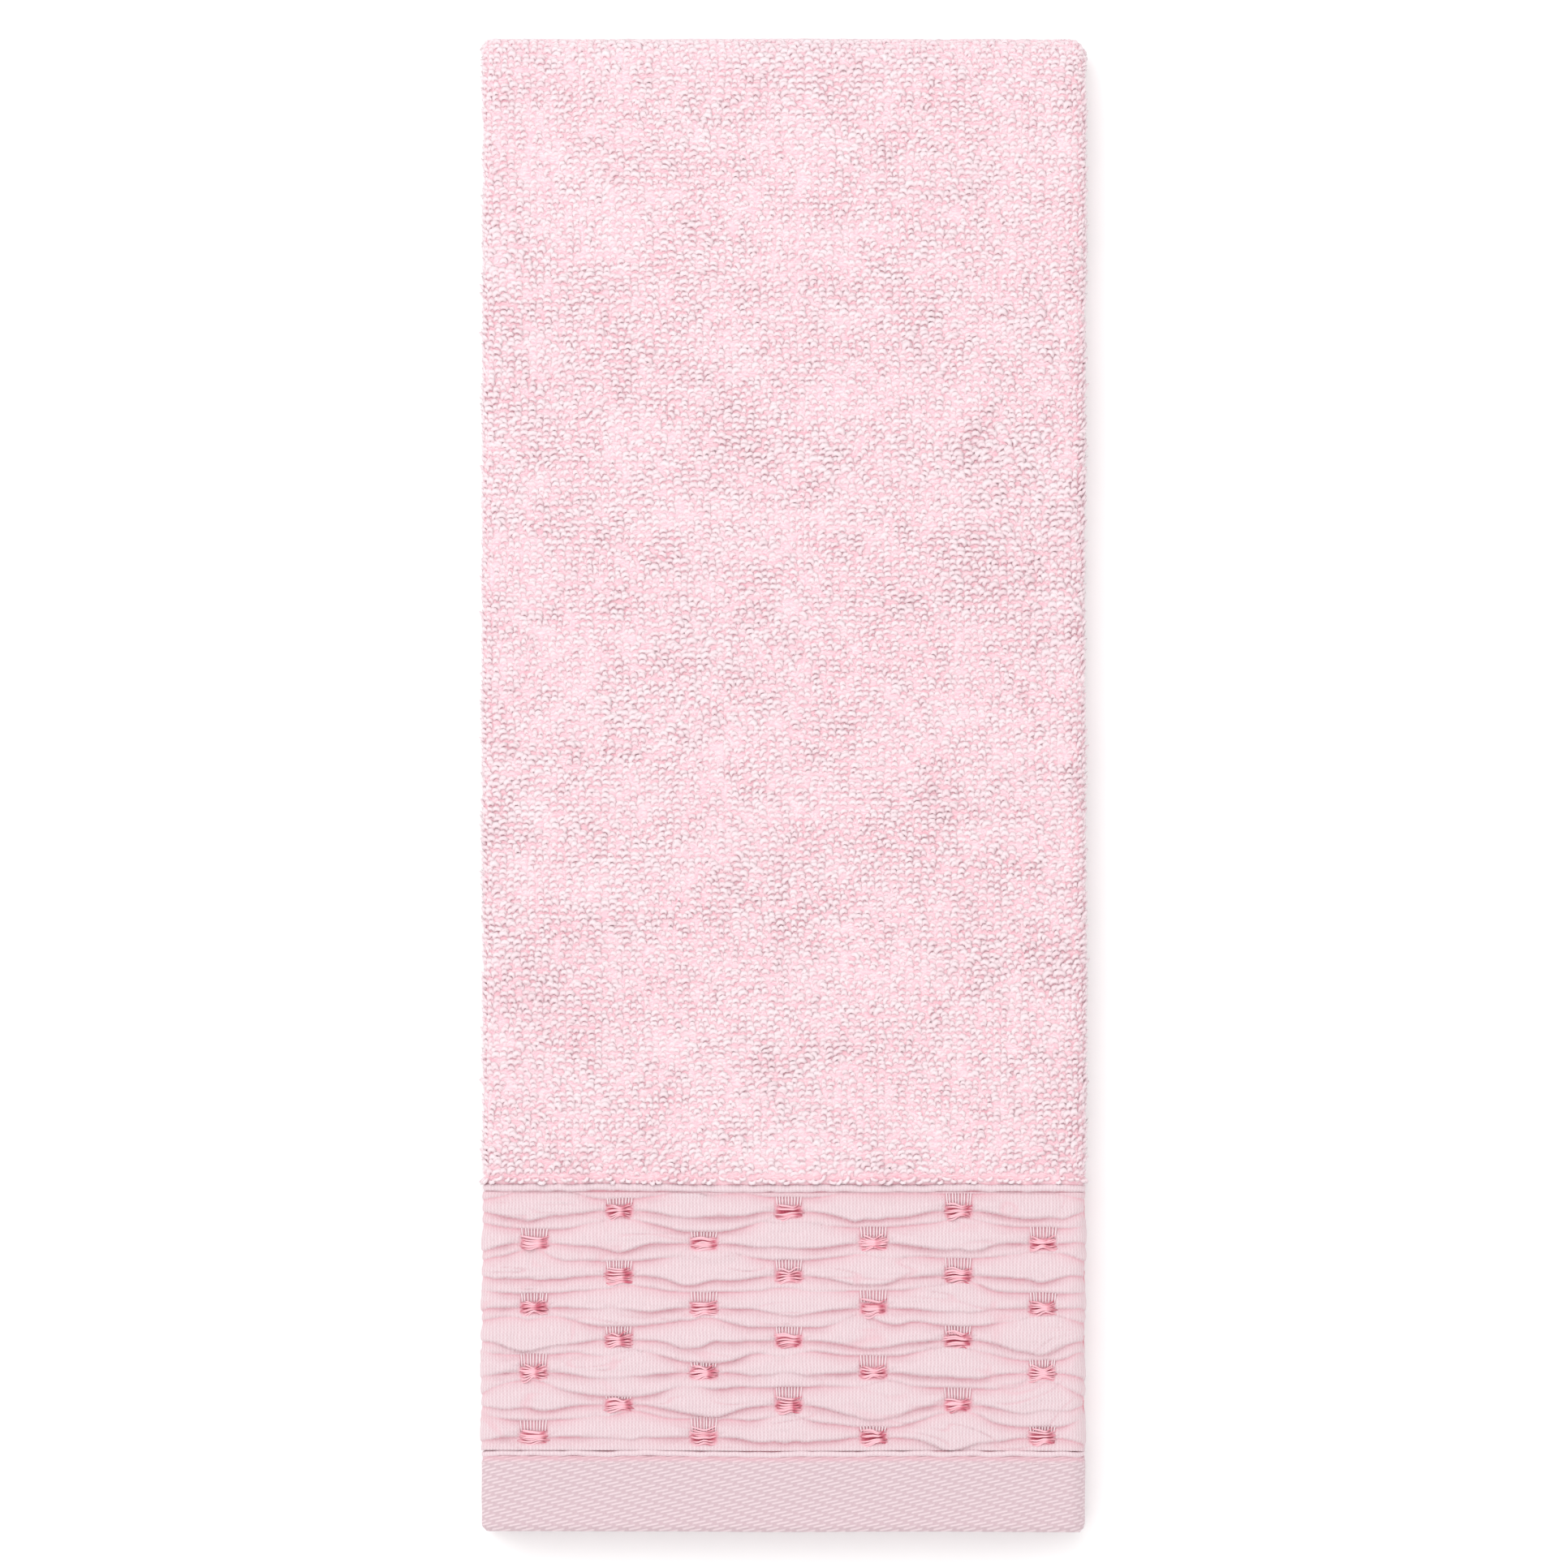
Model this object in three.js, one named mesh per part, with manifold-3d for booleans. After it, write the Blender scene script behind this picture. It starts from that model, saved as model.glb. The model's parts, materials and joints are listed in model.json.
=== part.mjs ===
// A folded terry hand towel from a bath set: one woven cloth with a smocked border and a twill
// hem at each end. It is folded in thirds along its length and then in half across it, so six
// layers lie on each other: centre panel, left flap and right flap, below and above the crease.
//
// Millimetres. +Z up, +X across the folded towel, +Y from the open hem end to the crease.
// Every piece is a strip of the cloth: a stretch of the folded width, a depth below the cloth's
// front face, and a length along Y. The upper half is the lower half seen in a mirror.

import * as THREE from "three";
import { mergeVertices } from "three/addons/utils/BufferGeometryUtils.js";
import Module from "manifold-3d";

const wasm = await Module();
wasm.setup();

// ---- Driving sizes -------------------------------------------------------------------------

const FOLDED_WIDTH = 166.7;
const FOLDED_LENGTH = 411.6;

const LAYER_THICKNESS = 3.0; // terry with its loops, front and back
const CLEARANCE = 0.3; // between layers that lie on each other, and between pieces that meet

const HEM_LENGTH = 20.4; // flat twill at the end
const HEM_WELT_WIDTH = 1.3; // rolled ridge between hem and smocking
const TERRY_WELT_WIDTH = 1.6; // rolled ridge between smocking and terry
const WELT_RECESS = 0.2; // of a welt below the level of the terry, front and back

const SIDE_HEM_WIDTH = 10; // turned and sewn long edge
const STITCH_WIDTH = 0.8; // one row of lockstitch
const STITCH_THICKNESS = 0.4;
const STITCH_INSET = 1.6; // from the inner edge of the hem that it holds

const HEM_RECESS = 0.3; // of the end hem's face below the level of the terry

const FREE_EDGE_INSET = 3.5; // of the right flap's free edge from the left fold
const TUCKED_EDGE_CLEARANCE = 1.0; // of the left flap's free edge from the bend of the right fold

const GATHERING_ROWS = 8;
const GATHERING_ROW_PITCH = 8.9;
const FIRST_ROW_OFFSET = 5.3; // from the terry end of the smocking
const LAST_ROW_OFFSET = 3.6; // from its hem end
const THREAD_WIDTH = 0.6;
const THREAD_THICKNESS = 0.4;
const THREAD_DEPTH = 0.1; // of the gathering threads below the level of the terry
const KNOT_SPACING = 46.7; // along a row; neighbouring rows are half a spacing apart
const KNOT_LENGTH = 7.0; // of a pinched bundle of floats, along the row
const KNOT_WIDTH = 4.4;
const KNOT_SHIFT = 1.3; // of the odd rows' middle knot from the middle of the centre panel

const FOLD_FACETS = 8; // on half a turn of a side fold
const CREASE_FACETS = 8; // on the quarter turn that each half makes at the crease

const TERRY_COLOUR = 0xf6dbe1;
const BORDER_COLOUR = 0xebcbd1;
const HEM_COLOUR = 0xe9d1d7;
const THREAD_COLOUR = 0xd98a9b;

// ---- Worked out from them --------------------------------------------------------------------

const layerPitch = LAYER_THICKNESS + CLEARANCE;
const halfThickness = 3 * LAYER_THICKNESS + 2 * CLEARANCE;
const totalThickness = 2 * halfThickness + CLEARANCE;

// What lies on the cloth is let into the layer, so that a layer is nowhere thicker than terry.
const smockedDepth = THREAD_DEPTH + THREAD_THICKNESS + CLEARANCE;
const sideHemDepth = STITCH_THICKNESS + CLEARANCE;
const hemThickness = LAYER_THICKNESS - HEM_RECESS - CLEARANCE - STITCH_THICKNESS;
const smockedLength = FIRST_ROW_OFFSET + (GATHERING_ROWS - 1) * GATHERING_ROW_PITCH + LAST_ROW_OFFSET;

const leftFoldRadius = (layerPitch + LAYER_THICKNESS) / 2; // wraps nothing: centre to left flap
const rightFoldRadius = halfThickness / 2; // wraps the left flap: centre to right flap
const leftFoldX = -FOLDED_WIDTH / 2 + leftFoldRadius;
const rightFoldX = FOLDED_WIDTH / 2 - rightFoldRadius;
const leftFlapLength = rightFoldX - TUCKED_EDGE_CLEARANCE - leftFoldX;
const rightFlapLength = rightFoldX - (-FOLDED_WIDTH / 2 + FREE_EDGE_INSET);
const centreLength = rightFoldX - leftFoldX;

// Distances along the front face, from the left flap's free edge to the right flap's.
const leftFoldStart = leftFlapLength;
const centreStart = leftFoldStart + Math.PI * leftFoldRadius;
const rightFoldStart = centreStart + centreLength;
const rightFlapStart = rightFoldStart + Math.PI * rightFoldRadius;
const clothWidth = rightFlapStart + rightFlapLength;

// Places along the towel, from the open end to the crease.
const hemEndY = -FOLDED_LENGTH / 2;
const hemTopY = hemEndY + HEM_LENGTH;
const hemWeltY = hemTopY + CLEARANCE;
const smockedY = hemWeltY + HEM_WELT_WIDTH + CLEARANCE;
const smockedTopY = smockedY + smockedLength;
const terryWeltY = smockedTopY + CLEARANCE;
const terryY = terryWeltY + TERRY_WELT_WIDTH + CLEARANCE;
const creaseRadius = totalThickness / 2;
const creaseY = FOLDED_LENGTH / 2 - creaseRadius; // where the layers start to turn

// ---- The folded cloth -------------------------------------------------------------------------

/** Point of the lower half's cross-section, `along` the front face and `depth` behind it. */
function sectionPoint(along, depth) {
  if (along <= leftFoldStart) {
    const x = leftFoldX + (leftFoldStart - along);
    return new THREE.Vector2(x, 2 * leftFoldRadius - depth);
  }
  if (along <= centreStart) {
    const turn = Math.PI / 2 + (along - leftFoldStart) / leftFoldRadius;
    return foldPoint(leftFoldX, leftFoldRadius, depth, turn);
  }
  if (along <= rightFoldStart) {
    return new THREE.Vector2(leftFoldX + (along - centreStart), depth);
  }
  if (along <= rightFlapStart) {
    const turn = -Math.PI / 2 + (along - rightFoldStart) / rightFoldRadius;
    return foldPoint(rightFoldX, rightFoldRadius, depth, turn);
  }
  const x = rightFoldX - (along - rightFlapStart);
  return new THREE.Vector2(x, 2 * rightFoldRadius - depth);
}

function foldPoint(centreX, radius, depth, turn) {
  const x = centreX + (radius - depth) * Math.cos(turn);
  return new THREE.Vector2(x, radius + (radius - depth) * Math.sin(turn));
}

/** Distances from `from` to `to` that follow the side folds closely enough. */
function stations(from, to) {
  const marks = [leftFoldStart, centreStart, rightFoldStart, rightFlapStart];
  for (let facet = 1; facet < FOLD_FACETS; facet += 1) {
    const share = facet / FOLD_FACETS;
    marks.push(THREE.MathUtils.lerp(leftFoldStart, centreStart, share));
    marks.push(THREE.MathUtils.lerp(rightFoldStart, rightFlapStart, share));
  }
  const inside = marks.filter((mark) => mark > from && mark < to);
  inside.sort((a, b) => a - b);
  return [from, ...inside, to];
}

/** Cross-section of a strip of cloth, as an outline in X and Z. */
function stripOutline(from, to, depth, thickness) {
  const places = stations(from, to);
  const front = places.map((along) => sectionPoint(along, depth));
  const back = places.map((along) => sectionPoint(along, depth + thickness));
  return [...front, ...back.reverse()];
}

/** Quarter of a circle that the front face of the centre panel makes at the crease. */
class CreaseArc extends THREE.Curve {
  getPoint(t, target = new THREE.Vector3()) {
    const turn = (t * Math.PI) / 2;
    const y = creaseY + creaseRadius * Math.sin(turn);
    return target.set(0, y, creaseRadius - creaseRadius * Math.cos(turn));
  }
}

// ---- Solids ---------------------------------------------------------------------------------------

function toSolid(geometry) {
  const bare = geometry.clone();
  bare.deleteAttribute("normal");
  bare.deleteAttribute("uv");
  const merged = mergeVertices(bare, 1e-5);
  const vertProperties = Float32Array.from(merged.attributes.position.array);
  const triVerts = Uint32Array.from(merged.index.array);
  return new wasm.Manifold(new wasm.Mesh({ numProp: 3, vertProperties, triVerts }));
}

function toGeometry(solid) {
  const mesh = solid.getMesh();
  const geometry = new THREE.BufferGeometry();
  geometry.setAttribute("position", new THREE.BufferAttribute(mesh.vertProperties, 3));
  geometry.setIndex(new THREE.BufferAttribute(mesh.triVerts, 1));
  return geometry;
}

/** Straight strip of cloth between two places along the towel. */
function straightStrip({ from, to, depth, thickness, startY, endY }) {
  const shape = new THREE.Shape(stripOutline(from, to, depth, thickness));
  const options = { depth: endY - startY, steps: 1, bevelEnabled: false };
  const geometry = new THREE.ExtrudeGeometry(shape, options);
  geometry.rotateX(Math.PI / 2);
  geometry.translate(0, endY, 0);
  return toSolid(geometry);
}

/** The same strip where it turns up at the crease, cut off level with the half's top. */
function creasedStrip({ from, to, depth, thickness }) {
  // An extrusion path that starts along +Y lays the outline's X along -X.
  const outline = stripOutline(from, to, depth, thickness);
  const shape = new THREE.Shape(outline.map((point) => new THREE.Vector2(-point.x, point.y)));
  const options = { steps: CREASE_FACETS, extrudePath: new CreaseArc(), bevelEnabled: false };
  const bend = toSolid(new THREE.ExtrudeGeometry(shape, options));

  const cutter = new THREE.BoxGeometry(2 * FOLDED_WIDTH, 2 * FOLDED_LENGTH, totalThickness);
  cutter.translate(0, 0, halfThickness + totalThickness / 2);
  return bend.subtract(toSolid(cutter));
}

/** Strip that runs from `startY` up to and around the crease. */
function stripToCrease(strip) {
  const overlap = CLEARANCE / 3; // so that the two stretches join
  const straight = straightStrip({ ...strip, endY: creaseY + overlap });
  return straight.add(creasedStrip(strip));
}

// ---- Sub-parts, each as the solid of the lower half -------------------------------------------------

const insideSideHems = {
  from: SIDE_HEM_WIDTH + CLEARANCE,
  to: clothWidth - SIDE_HEM_WIDTH - CLEARANCE,
};

function centrePanel() {
  return stripToCrease({
    from: centreStart + CLEARANCE / 2,
    to: rightFoldStart - CLEARANCE / 2,
    depth: 0,
    thickness: LAYER_THICKNESS,
    startY: terryY,
  });
}

function leftFlap() {
  return stripToCrease({
    from: insideSideHems.from,
    to: centreStart - CLEARANCE / 2,
    depth: 0,
    thickness: LAYER_THICKNESS,
    startY: terryY,
  });
}

function rightFlap() {
  return stripToCrease({
    from: rightFoldStart + CLEARANCE / 2,
    to: insideSideHems.to,
    depth: 0,
    thickness: LAYER_THICKNESS,
    startY: terryY,
  });
}

function terryWelt() {
  return straightStrip({
    ...insideSideHems,
    depth: WELT_RECESS,
    thickness: LAYER_THICKNESS - 2 * WELT_RECESS,
    startY: terryWeltY,
    endY: terryWeltY + TERRY_WELT_WIDTH,
  });
}

function smockedBorder() {
  return straightStrip({
    ...insideSideHems,
    depth: smockedDepth,
    thickness: LAYER_THICKNESS - smockedDepth,
    startY: smockedY,
    endY: smockedTopY,
  });
}

function hemWelt() {
  return straightStrip({
    ...insideSideHems,
    depth: WELT_RECESS,
    thickness: LAYER_THICKNESS - 2 * WELT_RECESS,
    startY: hemWeltY,
    endY: hemWeltY + HEM_WELT_WIDTH,
  });
}

function endHem() {
  return straightStrip({
    ...insideSideHems,
    depth: HEM_RECESS,
    thickness: hemThickness,
    startY: hemEndY,
    endY: hemTopY,
  });
}

/** Lockstitch that holds the turned end; it shows on the back of the cloth only. */
function endHemStitching() {
  const endY = hemTopY - STITCH_INSET;
  return straightStrip({
    ...insideSideHems,
    depth: HEM_RECESS + hemThickness + CLEARANCE,
    thickness: STITCH_THICKNESS,
    startY: endY - STITCH_WIDTH,
    endY,
  });
}

function sideHem(from) {
  return stripToCrease({
    from,
    to: from + SIDE_HEM_WIDTH,
    depth: sideHemDepth,
    thickness: LAYER_THICKNESS - sideHemDepth,
    startY: hemEndY,
  });
}

function sideStitching(from) {
  return stripToCrease({
    from,
    to: from + STITCH_WIDTH,
    depth: 0,
    thickness: STITCH_THICKNESS,
    startY: hemEndY,
  });
}

/** Draw thread of one smocked row, with the bundles of floats where it gathers the cloth. */
function gatheringRow(row) {
  const middleY = smockedTopY - FIRST_ROW_OFFSET - row * GATHERING_ROW_PITCH;
  const ends = {
    from: insideSideHems.from + CLEARANCE,
    to: insideSideHems.to - CLEARANCE,
    depth: THREAD_DEPTH,
    thickness: THREAD_THICKNESS,
  };
  let solid = straightStrip({
    ...ends,
    startY: middleY - THREAD_WIDTH / 2,
    endY: middleY + THREAD_WIDTH / 2,
  });
  const stagger = row % 2 === 0 ? KNOT_SHIFT : KNOT_SHIFT + KNOT_SPACING / 2;
  const middle = (centreStart + rightFoldStart) / 2 + stagger;
  const first = Math.ceil((ends.from + KNOT_LENGTH - middle) / KNOT_SPACING);
  const last = Math.floor((ends.to - KNOT_LENGTH - middle) / KNOT_SPACING);
  for (let knot = first; knot <= last; knot += 1) {
    const along = middle + knot * KNOT_SPACING;
    const bundle = straightStrip({
      ...ends,
      from: along - KNOT_LENGTH / 2,
      to: along + KNOT_LENGTH / 2,
      startY: middleY - KNOT_WIDTH / 2,
      endY: middleY + KNOT_WIDTH / 2,
    });
    solid = solid.add(bundle);
  }
  return solid;
}

// ---- The towel --------------------------------------------------------------------------------------

const cloth = (color) => new THREE.MeshStandardMaterial({ color, roughness: 0.95, metalness: 0 });

/** The upper half: the same solid, mirrored in the plane between the two halves. */
function mirrored(geometry) {
  const copy = geometry.clone();
  copy.scale(1, 1, -1);
  copy.translate(0, 0, totalThickness);
  const corners = copy.index.array;
  for (let first = 0; first < corners.length; first += 3) {
    const second = corners[first + 1];
    corners[first + 1] = corners[first + 2];
    corners[first + 2] = second;
  }
  return copy;
}

const towel = new THREE.Group();

function addToBothHalves(name, solid, colour) {
  const lower = toGeometry(solid);
  for (const [half, geometry] of [["lower", lower], ["upper", mirrored(lower)]]) {
    geometry.computeVertexNormals();
    const mesh = new THREE.Mesh(geometry, cloth(colour));
    mesh.name = `${half}_${name}`;
    towel.add(mesh);
  }
}

addToBothHalves("centre_panel_terry", centrePanel(), TERRY_COLOUR);
addToBothHalves("left_flap_terry", leftFlap(), TERRY_COLOUR);
addToBothHalves("right_flap_terry", rightFlap(), TERRY_COLOUR);
addToBothHalves("terry_welt", terryWelt(), BORDER_COLOUR);
addToBothHalves("smocked_border", smockedBorder(), BORDER_COLOUR);
addToBothHalves("hem_welt", hemWelt(), BORDER_COLOUR);
addToBothHalves("end_hem", endHem(), HEM_COLOUR);
addToBothHalves("end_hem_stitching", endHemStitching(), HEM_COLOUR);

const sideHems = { left: 0, right: clothWidth - SIDE_HEM_WIDTH };
const sideStitches = {
  left: SIDE_HEM_WIDTH - STITCH_INSET - STITCH_WIDTH,
  right: clothWidth - SIDE_HEM_WIDTH + STITCH_INSET,
};
for (const side of ["left", "right"]) {
  addToBothHalves(`${side}_side_hem`, sideHem(sideHems[side]), TERRY_COLOUR);
  addToBothHalves(`${side}_side_stitching`, sideStitching(sideStitches[side]), HEM_COLOUR);
}

for (let row = 0; row < GATHERING_ROWS; row += 1) {
  addToBothHalves(`gathering_row_${row + 1}`, gatheringRow(row), THREAD_COLOUR);
}

export default towel;
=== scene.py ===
import json
import math
from functools import partial

import bmesh
import bpy
import numpy as np
from mathutils import Matrix, Vector


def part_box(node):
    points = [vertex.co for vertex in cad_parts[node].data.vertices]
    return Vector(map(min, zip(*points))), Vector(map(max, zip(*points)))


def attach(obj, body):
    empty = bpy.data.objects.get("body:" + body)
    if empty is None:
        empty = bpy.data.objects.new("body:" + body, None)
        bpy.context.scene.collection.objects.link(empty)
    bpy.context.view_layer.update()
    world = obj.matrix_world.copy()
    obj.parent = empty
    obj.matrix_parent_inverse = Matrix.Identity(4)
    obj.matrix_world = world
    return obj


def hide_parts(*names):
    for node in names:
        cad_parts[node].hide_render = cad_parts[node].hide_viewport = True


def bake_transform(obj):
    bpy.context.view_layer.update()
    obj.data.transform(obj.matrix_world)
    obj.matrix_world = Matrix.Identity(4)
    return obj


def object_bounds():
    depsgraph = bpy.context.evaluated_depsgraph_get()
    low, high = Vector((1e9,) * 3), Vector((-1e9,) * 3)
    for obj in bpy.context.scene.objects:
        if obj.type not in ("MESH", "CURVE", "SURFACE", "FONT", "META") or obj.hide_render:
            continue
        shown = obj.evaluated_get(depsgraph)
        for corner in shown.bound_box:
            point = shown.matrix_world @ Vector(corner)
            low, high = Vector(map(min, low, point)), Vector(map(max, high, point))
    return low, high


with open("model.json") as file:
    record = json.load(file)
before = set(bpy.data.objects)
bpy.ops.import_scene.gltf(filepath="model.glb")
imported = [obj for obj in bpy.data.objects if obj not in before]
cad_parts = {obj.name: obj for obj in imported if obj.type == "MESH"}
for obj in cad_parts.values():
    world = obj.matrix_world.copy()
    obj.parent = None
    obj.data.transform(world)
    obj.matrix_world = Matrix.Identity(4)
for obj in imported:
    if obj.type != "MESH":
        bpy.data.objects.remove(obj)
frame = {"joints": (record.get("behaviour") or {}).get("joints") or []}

MM = 0.001
HALVES = ("lower", "upper")

# ---- The folded towel, as the frame has it ----
# A place on the cloth is given by `along`, its distance across the open cloth from the tucked
# edge of the left flap, by `up`, its distance along the towel, and by `depth` behind the front.

LOW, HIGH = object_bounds()
HINGE_Y = frame["joints"][0]["pos_m"][1]
THICKNESS = HIGH.z - LOW.z
LAYER_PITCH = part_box("lower_right_side_hem")[0].z / 2
GAP = 6 * LAYER_PITCH - THICKNESS
LAYER = LAYER_PITCH - GAP

CREASE_RADIUS = THICKNESS / 2
CREASE_Y = HINGE_Y - CREASE_RADIUS
CREASE_END = CREASE_Y + CREASE_RADIUS * math.pi / 2

LEFT_RADIUS = (LAYER_PITCH + LAYER) / 2
RIGHT_RADIUS = (2 * LAYER_PITCH + LAYER) / 2
LEFT_X = LOW.x + LEFT_RADIUS
RIGHT_X = HIGH.x - RIGHT_RADIUS
TUCKED_EDGE_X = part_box("lower_left_side_hem")[1].x
FREE_EDGE_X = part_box("lower_right_side_hem")[0].x
SIDE_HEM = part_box("lower_right_side_hem")[1].x - FREE_EDGE_X

LEFT_FOLD = TUCKED_EDGE_X - LEFT_X
CENTRE = LEFT_FOLD + math.pi * LEFT_RADIUS
RIGHT_FOLD = CENTRE + RIGHT_X - LEFT_X
RIGHT_FLAP = RIGHT_FOLD + math.pi * RIGHT_RADIUS
CLOTH_WIDTH = RIGHT_FLAP + RIGHT_X - FREE_EDGE_X
MIDDLE = CENTRE - LEFT_X  # where the centre panel crosses x = 0
CORNER = 2.3 * MM  # over which the corners are rounded off

SIDE_WANDER = 0.35 * MM  # how far the outline strays at the sides
END_WANDER = 0.30 * MM  # and at the crease and the hems
STACK_WANDER = 0.016  # share of its height by which the stack is uneven
STACK_SETTLING = 0.010  # and by which it has settled
FLOOR_PRESS = (-0.40 * MM, 0.38 * MM)  # where the cloth starts to be pressed flat, and its room
HINGE_PRESS = (HINGE_Y - 0.80 * MM, 0.77 * MM)
LOOP_PRESS = (CREASE_END - MM, 0.9 * MM)


def stretch(node):
    """Where a CAD node starts and ends along the towel."""
    low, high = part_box(node)
    return low.y, high.y


HEM = stretch("upper_end_hem")
HEM_WELT = stretch("upper_hem_welt")
BORDER = stretch("upper_smocked_border")
TERRY_WELT = stretch("upper_terry_welt")
TERRY = stretch("upper_centre_panel_terry")
ROWS = [sum(stretch(f"upper_gathering_row_{row}")) / 2 for row in range(1, 9)]


def section(along, depth):
    """Place in a half's cross-section: x, and the level above the half's outer face."""
    left = np.pi / 2 + (along - LEFT_FOLD) / LEFT_RADIUS
    right = -np.pi / 2 + (along - RIGHT_FOLD) / RIGHT_RADIUS
    reaches = [along <= LEFT_FOLD, along <= CENTRE, along <= RIGHT_FOLD, along <= RIGHT_FLAP]
    x = np.select(
        reaches,
        [
            LEFT_X + LEFT_FOLD - along,
            LEFT_X + (LEFT_RADIUS - depth) * np.cos(left),
            LEFT_X + along - CENTRE,
            RIGHT_X + (RIGHT_RADIUS - depth) * np.cos(right),
        ],
        RIGHT_X + RIGHT_FLAP - along,
    )
    level = np.select(
        reaches,
        [
            2 * LEFT_RADIUS - depth,
            LEFT_RADIUS + (LEFT_RADIUS - depth) * np.sin(left),
            depth,
            RIGHT_RADIUS + (RIGHT_RADIUS - depth) * np.sin(right),
        ],
        2 * RIGHT_RADIUS - depth,
    )
    return x, level


def drift(seed, x, y, cell_x, cell_y):
    """Smooth noise from -1 to 1 with cells of that size."""
    table = np.random.default_rng(seed).uniform(-1, 1, (64, 64))
    x, y = np.broadcast_arrays(x / cell_x, y / cell_y)
    i, j = np.floor(x).astype(int), np.floor(y).astype(int)
    u, v = x - i, y - j
    u, v = u * u * (3 - 2 * u), v * v * (3 - 2 * v)
    near = table[i % 64, j % 64] * (1 - u) + table[(i + 1) % 64, j % 64] * u
    far = table[i % 64, (j + 1) % 64] * (1 - u) + table[(i + 1) % 64, (j + 1) % 64] * u
    return near * (1 - v) + far * v


def squeezed(values, start, room):
    """Values past `start` are pressed together, so that none comes to `start` + `room`."""
    past = np.maximum(values - start, 0)
    return np.minimum(values, start) + past * room / (past + room)


def fold(half, along, up, depth, creased=True):
    """Points of the open cloth laid where the folded towel has them, as an n x 3 array.

    For both halves at once, up runs on past the end of the crease and down the upper half.
    """
    if half == "both":
        onward = (up > CREASE_END)[:, None]
        below = fold("lower", along, np.minimum(up, CREASE_END), depth)
        return np.where(onward, fold("upper", along, 2 * CREASE_END - up, depth), below)
    x, level = section(along, depth)
    turn = np.clip((up - CREASE_Y) / CREASE_RADIUS, 0, np.pi / 2) * creased
    y = (np.minimum(up, CREASE_Y) if creased else up) + (CREASE_RADIUS - level) * np.sin(turn)
    z = CREASE_RADIUS - (CREASE_RADIUS - level) * np.cos(turn)
    if half == "upper":
        z = THICKNESS - z
    # The four corners are rounded off.
    beyond_x = np.clip(np.abs(x) - HIGH.x + CORNER, 0, CORNER)
    beyond_y = np.clip(np.abs(y) - HINGE_Y + CORNER, 0, CORNER)
    x = x - np.sign(x) * beyond_x * (1 - np.sqrt(1 - (beyond_y / CORNER) ** 2 / 2))
    y = y - np.sign(y) * beyond_y * (1 - np.sqrt(1 - (beyond_x / CORNER) ** 2 / 2))
    # Soft cloth isn't ruler-straight: the outline wanders, and the stack is a little uneven.
    x = x + SIDE_WANDER * drift(11, y, z, 55 * MM, 12 * MM) * np.clip(np.abs(x) / HIGH.x, 0, 1)
    y = y + END_WANDER * drift(12, x, z, 40 * MM, 8 * MM)
    z = z * (1 + STACK_WANDER * drift(13, x, y, 60 * MM, 75 * MM) - STACK_SETTLING)
    # The cloth stays above the floor, and on its own side of the hinge for the opened towel.
    z = -squeezed(-z, *FLOOR_PRESS)
    y = squeezed(y, *HINGE_PRESS)
    return np.stack([x, y, z], 1)


# ---- Mesh help ----


def coordinates(mesh):
    found = np.empty(3 * len(mesh.vertices))
    mesh.vertices.foreach_get("co", found)
    return found.reshape(-1, 3)


def place(mesh, points):
    mesh.vertices.foreach_set("co", np.asarray(points, np.float32).ravel())
    mesh.update()


def mark(mesh, name, values):
    """Stores one number for each vertex, for the materials to read."""
    attribute = mesh.attributes.new(name, "FLOAT", "POINT")
    attribute.data.foreach_set("value", np.asarray(values, np.float32))


def map_cloth(mesh, name, u, v):
    """A UV map with one place for each vertex."""
    corner = np.empty(len(mesh.loops), np.int32)
    mesh.loops.foreach_get("vertex_index", corner)
    layer = mesh.uv_layers.new(name=name)
    layer.uv.foreach_set("vector", np.stack([u, v], 1)[corner].astype(np.float32).ravel())


def finished(bm, name, material):
    """An object at the origin that holds the bmesh, smooth, with faces outwards."""
    bmesh.ops.recalc_face_normals(bm, faces=bm.faces)
    mesh = bpy.data.meshes.new(name)
    bm.to_mesh(mesh)
    bm.free()
    piece = bpy.data.objects.new(name, mesh)
    bpy.context.scene.collection.objects.link(piece)
    mesh.materials.append(material)
    mesh.shade_smooth()
    return piece


def repeated(piece, columns, rows):
    """Copies a piece columns x rows times; copy number k holds the k-th run of vertices."""
    for label, count in (("columns", columns), ("rows", rows)):
        copies = piece.modifiers.new(label, "ARRAY")
        copies.use_relative_offset = False
        copies.count = count
    bpy.context.view_layer.update()
    graph = bpy.context.evaluated_depsgraph_get()
    mesh = bpy.data.meshes.new_from_object(piece.evaluated_get(graph), depsgraph=graph)
    piece.modifiers.clear()
    single = piece.data
    piece.data = mesh
    mesh.name = piece.name
    bpy.data.meshes.remove(single)
    return piece


def belongs(piece, half, slot, *nodes):
    """The piece moves with its half and stands for those CAD nodes of the half."""
    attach(piece, f"{half}_half")
    if nodes:
        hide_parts(*[f"{half}_{node}" for node in nodes])
    return piece


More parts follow.
